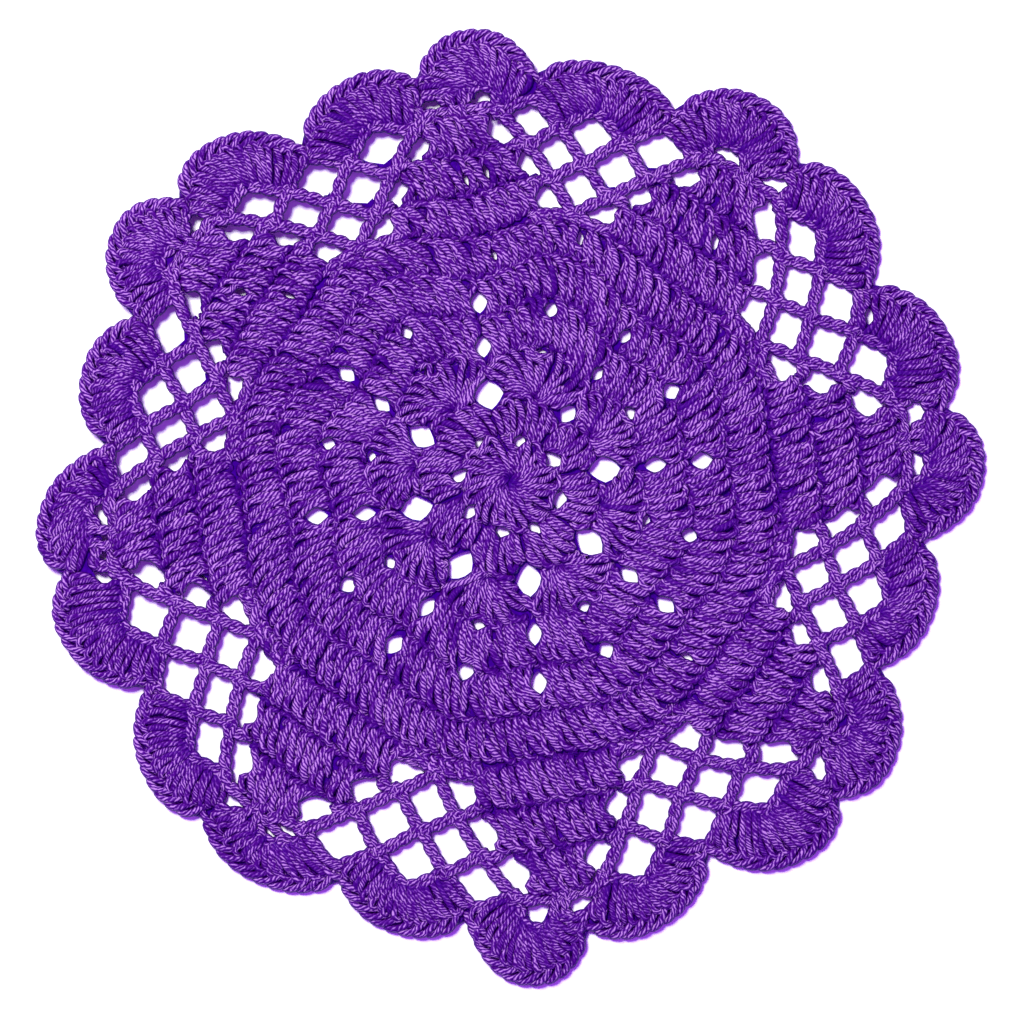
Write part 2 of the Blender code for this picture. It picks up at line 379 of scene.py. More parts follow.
NetRow = namedtuple("NetRow", "holes radius pitch rise climb width height")
NET = (
    NetRow(2,  90.0 * MM, 10.9,  0 * MM, 6.0 * MM,  8.8 * MM, 6.8 * MM),
    NetRow(3,  96.3 * MM, 10.4, 20 * MM, 3.5 * MM, 11.2 * MM, 8.4 * MM),
    NetRow(4, 105.2 * MM, 10.4, 15 * MM, 1.5 * MM, 13.0 * MM, 9.2 * MM),
    NetRow(5, 113.0 * MM, 10.3, 15 * MM, 0.8 * MM, 13.2 * MM, 9.0 * MM),
)
LAST_ROW = len(NET) - 1
FLANK_SHRINK = 0.24        # how much smaller a row's outermost holes are
BORDER_SHRINK = 0.55       # the same for the last row, which ends at the petals
BORDER_TUCK = 2.3          # degrees that those last holes sit nearer their fan
CLOSED = {(7, 0), (15, 0)}  # the last row's holes that a scallop covers: spoke, hole
HOLE_SQUARENESS = 1.35     # 1 is a diamond and 2 an ellipse
HOLE_POINTS = 12
print(len(OPENINGS), "openings beside the even pattern")

# %% [markdown]
# ## The border
# Twenty scallops close the edge. Each has the notch that ends it, as a
# direction and a reach in millimetres, and how far its crown stands out beyond
# the line between its two notches.

# %% Border table
Scallop = namedtuple("Scallop", "notch_at notch_reach crown")
SCALLOPS = [Scallop(at, reach * MM, crown * MM) for at, reach, crown in (
    (  9.7, 133, 12.5),
    ( 28.6, 124, 10.0),
    ( 48.0, 129,  9.0),
    ( 66.4, 122, 11.5),
    ( 86.4, 123,  5.5),
    (103.5, 124, 12.0),
    (122.2, 119,  8.0),
    (139.9, 131, 10.0),
    (156.9, 124, 13.0),
    (175.3, 123,  9.0),
    (192.3, 138, 11.0),
    (209.9, 127, 10.0),
    (227.8, 138,  9.0),
    (247.1, 132,  8.0),
    (264.3, 134,  7.5),
    (280.1, 138, 16.0),
    (298.1, 128,  8.5),
    (316.1, 138, 11.0),
    (333.3, 125, 10.5),
    (351.7, 126,  7.5),
)]
SCALLOP_ROUNDNESS = 2.4
print(len(SCALLOPS), "scallops")

# %% [markdown]
# ## Laying the pattern out
# The tables are read smoothly between two spokes, so that the cloth bends and
# doesn't kink. Everything from here on asks laid() where a point goes.


# %% From the pattern to the cloth
def curve(a, b, c, d, t):
    """Between b and c at share t, on a smooth curve through a, b, c and d."""
    return b + 0.5 * t * (c - a + t * (2 * a - 5 * b + 4 * c - d + t * (3 * (b - c) + d - a)))


def polar(reach, direction):
    return np.stack((reach * np.cos(direction), reach * np.sin(direction)), -1)


def unit(vector):
    return vector / np.linalg.norm(vector)


def spoke_value(column, place):
    """A column of SPOKES read smoothly at places counted in spokes."""
    values = np.array([getattr(spoke, column) for spoke in SPOKES])
    low = np.floor(place).astype(int)
    around = []
    for offset in (-1, 0, 1, 2):
        turns, index = np.divmod(low + offset, SPOKE_COUNT)
        whole_turns = 360 * turns if column.endswith("_at") else 0
        around.append(values[index] + whole_turns)
    return curve(*around, place - low)


def laid(angle, radius):
    """Where points of the even pattern lie in the finished cloth, as (..., 2)."""
    angle, radius = np.broadcast_arrays(np.asarray(angle, float), np.asarray(radius, float))
    place = angle / SPOKE_STEP
    swing = 1 - np.exp(-np.maximum(0.0, radius - ROOT_RADIUS) / TURN_FADE)
    root_at, rim_at, root_stretch, rim_stretch = (spoke_value(c, place) for c in Spoke._fields[1:5])
    reach = radius * (root_stretch + swing * (rim_stretch - root_stretch))
    return polar(reach, np.radians(root_at + swing * (rim_at - root_at)))


print("the even pattern's 0 degrees lies at", laid(0, 0.1).round(4))

# %% [markdown]
# ## Every gap and every edge
# The tables of gaps become one list, still on the even pattern. The scallops
# become lines in the cloth itself.

# %% Gaps and border lines
Hole = namedtuple("Hole", "angle radius width height row index spoke")


def all_holes():
    """Every gap of the even pattern."""
    for gap in GAPS + SMALL_GAPS:
        for spoke in PETALS if gap.on == "petal" else FANS:
            size = SPOKES[spoke].open
            yield Hole(spoke * SPOKE_STEP, gap.radius, gap.width * size, gap.height * size,
                       gap.name, 0, spoke)
    for spoke in FANS:
        for number, row in enumerate(NET):
            tuck, shrink = (BORDER_TUCK, BORDER_SHRINK) if number == LAST_ROW else (0, FLANK_SHRINK)
            for k in range(row.holes):
                side = 2 * k / (row.holes - 1) - 1
                flank = side ** 3 if row.holes > 2 else 0
                aside = side * (row.holes - 1) / 2 * row.pitch - flank * tuck
                share = aside / SPOKE_STEP
                radius = row.radius + row.rise * share ** 2 + row.climb * share
                size = SPOKES[spoke].open * (1 - shrink * abs(flank))
                yield Hole(spoke * SPOKE_STEP + aside, radius, row.width * size, row.height * size,
                           number, k, spoke)


NET_HOLES = {(h.spoke, h.row, h.index): h for h in all_holes() if isinstance(h.row, int)}
OPEN_HOLES = [h for h in all_holes() if (h.spoke, h.index) not in CLOSED or h.row != LAST_ROW]
print(len(OPEN_HOLES), "gaps,", len(NET_HOLES), "in the net")


def border(samples, inset=0.0):
    """One (samples, 2) line for each scallop, from notch to notch, drawn in by inset."""
    lines = []
    share = np.linspace(0, 1, samples)
    hump = 1 - np.abs(2 * share - 1) ** SCALLOP_ROUNDNESS
    for k, scallop in enumerate(SCALLOPS):
        start = SCALLOPS[k - 1]
        span = (scallop.notch_at - start.notch_at) % 360
        reach = start.notch_reach + share * (scallop.notch_reach - start.notch_reach)
        reach = reach + scallop.crown * hump - inset
        lines.append(polar(reach, np.radians(start.notch_at + share * span)))
    return lines


# %% [markdown]
# ## Tubes of yarn
# Several thousand curve objects would be slow, so one function builds all
# tubes at once: a ring of points round each point of a strand's centre line,
# walls between the rings, and a small cone at either end. A batch holds strands
# of one kind: centres (n, p, 3), radii (n, p), twist (n,), tone and painted shade
# (n,) or (n, p), and the points in a ring. One side of the cloth's rim waves up
# off the table, and what lies there is lifted with it.

# %% Tube maker
YARN_RADIUS = 1.0 * MM
END_REACH = 0.6        # how far the cone at an end sticks out, in radii
RIM_LIFT = 2.4 * MM
LIFTED_SIDE = 140
LIFT_FROM = 78 * MM
LIFT_OVER = 32 * MM


def lift_off(points):
    """Raises points (n, 3) at the side of the rim that waves up off the floor."""
    reach = np.clip((np.hypot(points[:, 0], points[:, 1]) - LIFT_FROM) / LIFT_OVER, 0, 1)
    side = np.maximum(0, np.cos(np.arctan2(points[:, 1], points[:, 0]) - math.radians(LIFTED_SIDE)))
    points[:, 2] = np.maximum(points[:, 2], 0) + RIM_LIFT * side * reach * reach * (3 - 2 * reach)
    return points


def tube_points(centres, radii, sides):
    """Every strand's rings and then the tips of its two cones: (n, p * sides + 2, 3)."""
    n, p = centres.shape[:2]
    tangent = np.gradient(centres, axis=1)
    tangent /= np.linalg.norm(tangent, axis=2, keepdims=True) + 1e-12
    side = np.cross(tangent, (0.0, 0.0, 1.0))
    side /= np.linalg.norm(side, axis=2, keepdims=True) + 1e-9
    over = np.cross(side, tangent)
    turn = 2 * np.pi * np.arange(sides) / sides
    ring = (centres[:, :, None, :]
            + radii[:, :, None, None] * (np.cos(turn)[:, None] * side[:, :, None, :]
                                         + np.sin(turn)[:, None] * over[:, :, None, :]))
    first = centres[:, 0] - tangent[:, 0] * radii[:, :1] * END_REACH
    last = centres[:, -1] + tangent[:, -1] * radii[:, -1:] * END_REACH
    return np.concatenate((ring.reshape(n, p * sides, 3), first[:, None], last[:, None]), 1)


def tube_corners(p, sides):
    """Walls, then cones: each corner's point in the mesh, its ring and its place round the tube."""
    ring, j = np.divmod(np.arange((p - 1) * sides), sides)
    ring = np.stack((ring, ring, ring + 1, ring + 1), -1)
    place = np.stack((j, j + 1, j + 1, j), -1)
    walls = (ring * sides + place % sides, ring, place)
    j = np.arange(sides)
    place = np.concatenate((np.stack((j + 0.5, j + 1, j), -1), np.stack((j + 0.5, j, j + 1), -1)))
    ring = np.repeat((0, p - 1), sides)[:, None] * np.ones(3, int)
    point = ring * sides + place.astype(int) % sides
    point[:, 0] = np.repeat((p * sides, p * sides + 1), sides)
    return walls, (point, ring, place)


print("a strand of 8 points has", len(tube_corners(8, 6)[0][0]), "wall faces")

# %% [markdown]
# ## Pieces
# All tubes of a piece become one mesh, with the map and two numbers for each
# point: its tone and painted shade, and its level before the lift. The mat is one
# body of one cloth, so every piece rides on that body and takes the yarn's slot.


def run_along(points):
    """How far along its line each point lies, for lines (..., p, d)."""
    steps = np.linalg.norm(np.diff(points, axis=-2), axis=-1)
    return np.concatenate((np.zeros_like(steps[..., :1]), np.cumsum(steps, -1)), -1)


def strand_mesh(name, batches):
    """One mesh of every tube in the batches, and how many triangles it has."""
    points, tones_and_shades, loops, sizes, corners = [], [], [], [], []
    base = 0
    for centres, radii, twist, tone, sides in batches:
        n, p = centres.shape[:2]
        points.append(tube_points(centres, radii, sides).reshape(-1, 3))
        tone = np.broadcast_to(np.asarray(tone).reshape(n, -1), (n, p))
        tones_and_shades.append(np.concatenate((np.repeat(tone, sides, 1), tone[:, :1], tone[:, -1:]), 1).ravel())
        turns = run_along(centres) / (2 * np.pi * YARN_RADIUS) * twist[:, None]
        start = base + np.arange(n)[:, None, None] * (p * sides + 2)
        for point, ring, place in tube_corners(p, sides):
            loops.append((start + point).ravel())
            sizes.append(np.full(n * len(point), point.shape[1]))
            around = np.broadcast_to(place / sides, (n, *place.shape))
            corners.append(np.stack((around, turns[:, ring]), -1).reshape(-1, 2))
        base += n * (p * sides + 2)
    points = np.concatenate(points)
    levels = points[:, 2] / MM
    points = lift_off(points)
    loops = np.concatenate(loops).astype(np.int32)
    sizes = np.concatenate(sizes).astype(np.int32)
    starts = np.concatenate(([0], np.cumsum(sizes)[:-1])).astype(np.int32)
    mesh = bpy.data.meshes.new(name)
    mesh.vertices.add(len(points))
    mesh.vertices.foreach_set("co", points.astype(np.float32).ravel())
    mesh.loops.add(len(loops))
    mesh.loops.foreach_set("vertex_index", loops)
    mesh.polygons.add(len(sizes))
    mesh.polygons.foreach_set("loop_start", starts)
    mesh.polygons.foreach_set("loop_total", sizes)
    layer = mesh.uv_layers.new(name="strand")
    layer.data.foreach_set("uv", np.concatenate(corners).astype(np.float32).ravel())
    # Each point's tone and painted shade, and its height, go onto the mesh.
    for kind, values in (("tone", np.concatenate(tones_and_shades)), ("level", levels)):
        attribute = mesh.attributes.new(kind, "FLOAT", "POINT")
        attribute.data.foreach_set("value", values.astype(np.float32))
    mesh.update(calc_edges=True)
    mesh.shade_smooth()
    return mesh, int((sizes - 2).sum())


def add_piece(name, mesh, triangles, material=YARN):
    piece = put(name, mesh)
    mesh.materials.append(material)
    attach(piece, "root")
    print(name, triangles, "triangles")
    return piece


def add_strands(name, batches):
    mesh, triangles = strand_mesh(name, batches)
    return add_piece(name, mesh, triangles)


# %% [markdown]
# ## Smooth centre lines
# A strand is drawn by a few knots. A curve through all of them fills in the
# points between, so a loop looks bent and not broken.

# %% Smooth line
def smooth_line(knots, samples):
    """A smooth line through knots (..., k, d), read at equal steps: (..., samples, d)."""
    knots = np.asarray(knots, float)
    count = knots.shape[-2]
    place = np.linspace(0, count - 1, samples)
    low = np.minimum(place.astype(int), count - 2)
    index = [np.clip(low + o, 0, count - 1) for o in (-1, 0, 1, 2)]
    return curve(*(knots[..., i, :] for i in index), (place - low)[:, None])


# %% [markdown]
# ## One stitch
# Nearly every stitch here is a double crochet: a bar and a loop on top, where
# the next round hooks in; a thick slanting ladder of wrapped yarn; a post of two
# strands; and two feet that grip the round before. Two more strands lie lower,
# or the bed would show between the posts. Each is drawn once in a unit cell:
# across from 0 to 1, up from 0 to 1, and its height in millimetres.

# %% The stitch
Strand = namedtuple("Strand", "name thick twist knots")
DOUBLE_CROCHET = [Strand(*row) for row in (
    ("top bar", 1.05, 0.55,
     ((-0.16, 0.92, 1.2), (-0.02, 0.98, 1.8), (0.14, 0.98, 1.9), (0.30, 0.90, 1.4))),
    ("loop", 1.15, 0.50,
     ((0.34, 0.92, 1.6), (0.50, 0.97, 2.3), (0.74, 0.94, 2.7), (0.93, 0.82, 2.8), (0.99, 0.66, 2.5),
      (0.93, 0.50, 1.7))),
    ("ladder", 1.35, 0.95,
     ((0.02, 0.92, 1.8), (0.20, 0.89, 2.6), (0.42, 0.77, 2.8), (0.62, 0.62, 2.8), (0.78, 0.46, 2.0))),
    ("left post", 1.25, 0.65,
     ((-0.02, 0.80, 1.7), (0.08, 0.62, 2.4), (0.24, 0.44, 2.6), (0.36, 0.24, 2.4), (0.36, 0.04, 1.7))),
    ("right post", 1.20, 0.65,
     ((0.46, 0.60, 1.7), (0.60, 0.44, 2.5), (0.78, 0.30, 2.5), (0.88, 0.14, 2.2), (0.86, -0.02, 1.6))),
    ("under post", 1.25, 0.65,
     ((-0.10, 0.62, 1.4), (-0.03, 0.44, 1.9), (0.08, 0.24, 1.9), (0.16, 0.04, 1.4))),
    ("under ladder", 1.20, 0.65,
     ((0.12, 0.84, 1.5), (0.22, 0.68, 1.9), (0.36, 0.50, 1.9), (0.52, 0.34, 1.5))),
    ("left foot", 1.05, 0.80,
     ((0.54, 0.26, 1.4), (0.42, 0.14, 2.1), (0.22, 0.06, 2.2), (0.02, 0.04, 1.5))),
    ("right foot", 1.00, 0.80,
     ((0.50, 0.10, 1.4), (0.64, 0.02, 2.1), (0.80, 0.00, 2.1), (0.98, 0.06, 1.5))),
)]
# The longer stitch of the shells: no top bar shows, and both posts are long.
LONG_STITCH = [Strand(*row) for row in (
    ("right loop", 1.10, 0.50,
     ((0.30, 0.99, 1.5), (0.58, 1.02, 2.5), (0.86, 0.95, 2.8), (0.98, 0.81, 2.5), (0.94, 0.66, 1.6))),
    ("ladder", 1.20, 1.20,
     ((0.16, 0.98, 1.6), (0.34, 0.88, 2.6), (0.52, 0.75, 2.7), (0.68, 0.60, 2.4), (0.78, 0.48, 1.6))),
    ("left post", 1.15, 0.75,
     ((-0.04, 0.92, 1.7), (0.04, 0.74, 2.5), (0.16, 0.48, 2.6), (0.22, 0.26, 2.3), (0.25, 0.02, 1.1))),
    ("right post", 1.15, 0.75,
     ((0.50, 0.62, 1.8), (0.62, 0.46, 2.5), (0.72, 0.24, 2.2), (0.75, 0.02, 1.1))),
)]
STRAND_SAMPLES = 8
SIDES = 6
print(len(DOUBLE_CROCHET), "strands in a stitch,", len(LONG_STITCH), "in a long one")

# %% [markdown]
# ## Keeping the gaps open
# Where a hand pulls a gap open, the strands make way. A large gap pushes every
# point straight out to its edge. Pushed out of a small one like that, a strand
# would fold up, so it steps aside bit by bit, square to its own direction. Gaps
# are rounded diamonds: a power of 1 is a diamond and 2 an ellipse.


# %% Keeping the gaps open
def gap_table():
    """Centre, two axes and half size of every open gap, laid out in the cloth."""
    rows = []
    for h in OPEN_HOLES:
        aside = math.degrees(0.5 * h.width / h.radius)
        out = laid(h.angle, h.radius + h.height / 2) - laid(h.angle, h.radius - h.height / 2)
        along = laid(h.angle + aside, h.radius) - laid(h.angle - aside, h.radius)
        half = (np.linalg.norm(along) / 2, np.linalg.norm(out) / 2)
        rows.append((laid(h.angle, h.radius), unit(out), unit(along), half))
    for o in OPENINGS:
        lean = math.radians(o.lean)
        rows.append(((o.x * MM, o.y * MM), (-math.sin(lean), math.cos(lean)),
                     (math.cos(lean), math.sin(lean)), (o.long * MM / 2, o.wide * MM / 2)))
    return [np.array(column) for column in zip(*rows)]


GAP_CENTRE, GAP_OUT, GAP_ALONG, GAP_HALF = gap_table()
SMALL_GAP = 4 * MM
GAP_REACH = 3 * MM
STEP_ASIDE = 0.3 * MM
MOST_STEPS = 12


def clear_of_gaps(centres, margin=1.25 * MM, power=1.6, first=0):
    """Centre lines moved out of the gaps from first on: strands (n, p, 3), or one line (p, 2)."""
    flat = centres.reshape(-1, centres.shape[-1]).copy()
    strands = centres.ndim == 3
    if strands:
        heading = centres[:, -1, :2] - centres[:, 0, :2]
        heading /= np.linalg.norm(heading, axis=1, keepdims=True) + 1e-9
        beside = np.repeat(np.stack((-heading[:, 1], heading[:, 0]), -1), centres.shape[1], 0)
        start = np.repeat(centres[:, 0, :2], centres.shape[1], 0)
    gaps = zip(GAP_CENTRE[first:], GAP_OUT[first:], GAP_ALONG[first:], GAP_HALF[first:])
    for c, o, a, (wide, tall) in gaps:
        near = np.nonzero(((flat[:, :2] - c) ** 2).sum(1) < (max(wide, tall) + GAP_REACH) ** 2)[0]
        round_it = strands and max(wide, tall) < SMALL_GAP
        for _ in range(MOST_STEPS if round_it else 1):
            d = flat[near, :2] - c
            x = d @ a / (wide + margin)
            y = d @ o / (tall + margin)
            size = (np.abs(x) ** power + np.abs(y) ** power) ** (1 / power)
            moved = near[size < 1]
            if not len(moved):
                break
            if round_it:
                side = np.sign(((start[moved] - c) * beside[moved]).sum(1, keepdims=True) + 1e-9)
                flat[moved, :2] += beside[moved] * side * STEP_ASIDE
            else:
                flat[moved, :2] = c + d[size < 1] / np.maximum(size[size < 1], 0.03)[:, None]
    return flat.reshape(centres.shape)


print(len(GAP_CENTRE), "gaps are kept open")

# %% [markdown]
# ## Working the stitch
# The stitch is laid in each cell of a round, and no two are alike. Where it
# grips the one below it would dip into shade, so each kind has a short list of
# painted shade: how bright it is painted from foot (0) to top (1).

# %% Working the stitch
SWING = 0.08                     # how far tops lean aside, in cells
SWELL = 0.12                     # how much higher or lower a stitch lies, in mm
SHIFT = (0.045, 0.034, 0.12)     # of a strand: across, up and in height
BEND = 0.05
UNEVEN_RADIUS = 0.04
UNEVEN_TONE = 0.22
TONE_LIMITS = (0.4, 1.5)
THIN_END = 0.8
# Painted shade: how bright a stitch is painted from foot (0) to top (1).
PAINTED_FOOT_SHADE = ((0.0, 0.6), (0.15, 1.0))


def work(template, cells, sides=SIDES, gaps=True, samples=STRAND_SAMPLES, painted_shade=PAINTED_FOOT_SHADE):
    """Lays the template in each cell. cells is (n, 4, 2): foot left, foot right, top right, top left."""
    cells = np.asarray(cells, float)
    n = len(cells)
    batches = []
    swing = luck.normal(0, SWING, (n, 1))
    swell = luck.normal(0, SWELL, (n, 1))
    for strand in template:
        line = smooth_line(strand.knots, samples)
        shift = luck.normal(0, 1, (n, 3)) * SHIFT
        bend = luck.normal(0, 1, (n, 1)) * BEND
        u = line[None, :, 0] + shift[:, :1] + bend * np.sin(np.linspace(0, np.pi, samples))[None]
        v = line[None, :, 1] + shift[:, 1:2]
        u = u + swing * (v - 0.5)
        z = line[None, :, 2] + shift[:, 2:3] + swell
        low = cells[:, None, 0] * (1 - u[..., None]) + cells[:, None, 1] * u[..., None]
        top = cells[:, None, 3] * (1 - u[..., None]) + cells[:, None, 2] * u[..., None]
        flat = low * (1 - v[..., None]) + top * v[..., None]
        centres = np.concatenate((flat, z[..., None] * MM), -1)
        if gaps:
            centres = clear_of_gaps(centres)
        thick = YARN_RADIUS * strand.thick * (1 + luck.normal(0, UNEVEN_RADIUS, (n, 1)))
        radii = np.repeat(thick, samples, 1)
        radii[:, (0, -1)] *= THIN_END
        # Painted shade from foot to top, times a random tone for each stitch.
        painted_fade = np.interp(v, *zip(*painted_shade))
        tones_and_shades = painted_fade * np.clip(1.0 + luck.normal(0, UNEVEN_TONE, (n, 1)), *TONE_LIMITS)
        batches.append((centres, radii, np.full(n, strand.twist), tones_and_shades, sides))
    return batches


# %% [markdown]
# ## Rounds of stitches
# A round is a strip between two lines, cut into cells. Inner rounds go all the
# way about, in parts that stand on the fans; the outer ones are a petal's rows.
# Each has its half width at foot and top, in degrees. Rise lifts its edge over a
# fan, and climb lifts the side of a petal's row that borders the fan before it.

# %% Rounds
Round = namedtuple("Round", "name low high on foot_half top_half stitches"
                            " foot_rise top_rise foot_climb top_climb")
ROUNDS = (
    Round("fourth",  39.0, 54.0, "fan", 20.5, 22.5, 8, 0.9, 1.0, 0.0, 0.0),
    Round("fifth",   53.6, 67.4, "fan", 21.0, 22.5, 9, 1.0, 1.0, 0.0, 0.0),
    Round("sixth",   67.0, 80.6, "fan", 22.4, 22.5, 10, 1.0, 0.6, 0.0, 0.0),
    Round("sill",    80.4, 86.4, "fan", 8.5, 7.5, 5, 0.6, 0.1, 0.0, 0.0),
    Round("seventh", 80.8, 93.6, "petal", 15.5, 14.0, 9, 0.7, 0.0, 3.0, 5.0),
    Round("eighth",  93.8, 106.9, "petal", 12.2, 9.4, 6, 0.0, 0.0, 5.0, 2.0),
    Round("ninth",  107.0, 120.0, "petal", 6.8, 4.2, 4, 0.0, 0.0, 2.0, 0.0),
)
MOST_RISE = max(RISE.values())
ROW_JITTER = 0.02
SEAM = 0.9999      # keeps a part's end on its own side of the border with the next part


def lifted(angle, radius, share):
    """The radius of a round's edge, lifted where the round passes over a fan."""
    spoke = np.asarray(angle) / SPOKE_STEP
    swell = np.sin(np.pi / 2 * (1 - np.abs((spoke % 2) - 1))) ** 2
    fan = (2 * np.floor(spoke / 2) + 1) % SPOKE_COUNT
    rise = np.array([RISE[int(f)] for f in fan])
    return radius + share * rise * MM * swell


def strip_cells(low, high):
    """The cells between two lines of points (k, 2) each, from one side to the other."""
    return np.stack((low[:-1], low[1:], high[1:], high[:-1]), 1)


def row_cells(r, spoke):
    """The cells of one round's part that stands on a spoke."""
    share = np.linspace(1, -1, r.stitches + 1)
    share = share + luck.normal(0, ROW_JITTER, len(share)) * (np.abs(share) < 0.99)
    foot = spoke * SPOKE_STEP + share * r.foot_half * SEAM
    top = spoke * SPOKE_STEP + share * r.top_half * SEAM
    fan = spoke if r.on == "fan" else (spoke - 1) % SPOKE_COUNT
    steep = np.clip(-share, 0, 1) ** 1.5 * RISE[fan] / MOST_RISE
    low = laid(foot, lifted(foot, r.low * MM, r.foot_rise) + steep * r.foot_climb * MM)
    high = laid(top, lifted(top, r.high * MM, r.top_rise) + steep * r.top_climb * MM)
    return strip_cells(low, high)


def round_cells(r):
    return np.concatenate([row_cells(r, spoke) for spoke in (FANS if r.on == "fan" else PETALS)])


print(sum(r.stitches for r in ROUNDS) * len(FANS), "stitches in", len(ROUNDS), "rounds")

# %% [markdown]
# ## The middle
# The mat starts with a closed ring of long stitches. A cluster stands on it at
# every fan, and from its top a shell of seven stitches spreads until it meets
# its neighbours, or in front the foot of the fourth round.

# %% Cells of the middle
ROSETTE_STITCHES = 13
ROSETTE_FOOT = 0.8 * MM
ROSETTE_TOP = 15.4 * MM
ROSETTE_TURN = np.linspace(0, -360, ROSETTE_STITCHES + 1) + SPOKE_STEP / 2
ROSETTE = strip_cells(laid(ROSETTE_TURN, ROSETTE_FOOT), laid(ROSETTE_TURN, ROSETTE_TOP))
CLUSTER_STITCHES = 4
CLUSTER_HALF = 20.5
SHELL_STITCHES = 7
SHELL_HALF = 88
NODE_RADIUS = 27.6 * MM
NODE_SIZE = 0.6 * MM
SHELL_REACH = 17.5 * MM
SHELL_RIM = 40.6 * MM
SHELL_OVERLAP = 0.9 * MM    # with the shell beside it
GAP_FROM = 66               # degrees from a shell's axis where it starts to make way for the ring gap
GAP_OVER = 12
GAP_DRAW = 4.8 * MM


def cluster_cells(spoke):
    share = np.linspace(1, -1, CLUSTER_STITCHES + 1)
    angle = spoke * SPOKE_STEP + share * CLUSTER_HALF
    low = laid(angle, (13.6 + 1.6 * share ** 2) * MM)
    return strip_cells(low, laid(angle, (28.4 - 3.4 * share ** 2) * MM))


def shell_cells(spoke):
    flank = np.tan(np.radians(SPOKE_STEP))
    turn = np.radians(np.linspace(SHELL_HALF, -SHELL_HALF, SHELL_STITCHES + 1))
    lean = np.maximum(np.sin(np.abs(turn)) - flank * np.cos(turn), 0.05)
    beside_gap = np.clip((np.abs(np.degrees(turn)) - GAP_FROM) / GAP_OVER, 0, 1)
    aside = NODE_RADIUS * flank / lean + SHELL_OVERLAP - GAP_DRAW * SPOKES[spoke].open * beside_gap
    rim = SHELL_RIM + 0.9 * RISE[spoke] * np.cos(turn) ** 4 * MM
    ahead = np.sqrt(rim ** 2 - (NODE_RADIUS * np.sin(turn)) ** 2) - NODE_RADIUS * np.cos(turn)
    edges = []
    for distance in (NODE_SIZE, np.minimum(np.minimum(aside, ahead), SHELL_REACH)):
        x = NODE_RADIUS + distance * np.cos(turn)
        y = distance * np.sin(turn)
        edges.append(laid(spoke * SPOKE_STEP + np.degrees(np.arctan2(y, x)), np.hypot(x, y)))
    return strip_cells(*edges)


CLUSTERS = np.concatenate([cluster_cells(spoke) for spoke in FANS])
SHELLS = np.concatenate([shell_cells(spoke) for spoke in FANS])
print(len(ROSETTE), "stitches in the rosette,", len(CLUSTERS), "in clusters,", len(SHELLS), "in shells")

# %% [markdown]
# ## Laying every round
# Each piece is a few rounds, so that none gets too heavy. In the middle the
# stitches crowd into one knot, painted in deep shade; petals get darker painted
# shade in their furrows than rounds. Seen from behind, a stitch is two level legs
# and a bar.

# %% Rounds of yarn
# Painted shade of each kind, from foot (0) to top (1): darker feet, and for petals darker furrows.
KNOT_PAINTED_SHADE = ((0.02, 0.15), (0.28, 1.0))
PLAIN_PAINTED_SHADE = ((0.0, 0.45), (0.10, 0.65), (0.20, 1.0), (0.88, 1.0), (0.98, 0.7))
RIDGED_PAINTED_SHADE = ((0.0, 0.34), (0.09, 0.56), (0.18, 1.0), (0.88, 1.0), (0.98, 0.65))
BACK = [Strand(*row) for row in (
    ("left leg", 1.00, 0.80,
     ((0.10, 1.00, 1.1), (0.30, 0.70, 1.0), (0.24, 0.35, 1.0), (0.30, 0.02, 1.1))),
    ("right leg", 1.00, 0.80,
     ((0.62, 1.00, 1.1), (0.78, 0.70, 1.0), (0.74, 0.35, 1.0), (0.80, 0.02, 1.1))),
    ("bar", 0.95, 0.80,
     ((-0.05, 0.92, 1.05), (0.30, 0.86, 1.0), (0.70, 0.90, 1.0), (1.02, 0.94, 1.05))),
)]
CELLS = {
    "middle": [(LONG_STITCH, KNOT_PAINTED_SHADE, ROSETTE), (LONG_STITCH, PLAIN_PAINTED_SHADE, CLUSTERS),
               (LONG_STITCH, KNOT_PAINTED_SHADE, SHELLS)],
    "inner_rounds": [(DOUBLE_CROCHET, PLAIN_PAINTED_SHADE, round_cells(r)) for r in ROUNDS[:2]],
    "outer_rounds": [(DOUBLE_CROCHET, PLAIN_PAINTED_SHADE, round_cells(r)) for r in ROUNDS[2:4]],
    "petals": [(DOUBLE_CROCHET, RIDGED_PAINTED_SHADE, round_cells(r)) for r in ROUNDS[4:]],
}
for name, groups in CELLS.items():
    batches = []
    for template, painted_shade, cells in groups:
        batches += work(template, cells, painted_shade=painted_shade)
    add_strands(name, batches)
cells = np.concatenate([group[-1] for groups in CELLS.values() for group in groups])
add_strands("back", work(BACK, cells, samples=6, sides=5))
print(len(cells), "stitches, front and back")

# %% [markdown]
# ## A chain
# The fans are a net of short chains. A chain is a rope of interlocked loops:
# each link shows two legs that lean together in a V, over a core. A link is
# drawn once, as run along the chain, distance aside and height.

# %% Chain maker
LINK = 4.2 * MM
CHAIN_LEG = (
    (0.00, 0.10, 1.3), (0.28, 0.80, 2.2), (0.65, 0.85, 2.5), (1.05, 0.25, 2.1), (1.30, -0.05, 1.4),
)
LEG_ASIDE = 0.76 * MM
LEG_RADIUS = 0.86 * MM
CORE_RADIUS = 0.80 * MM
CORE_LEVEL = 1.25 * MM
CORE_TWIST = 0.8
# Painted shade: the core lies under the loops and is painted darker.
CORE_PAINTED_SHADE = 0.7
LEG_ENDS = 0.75


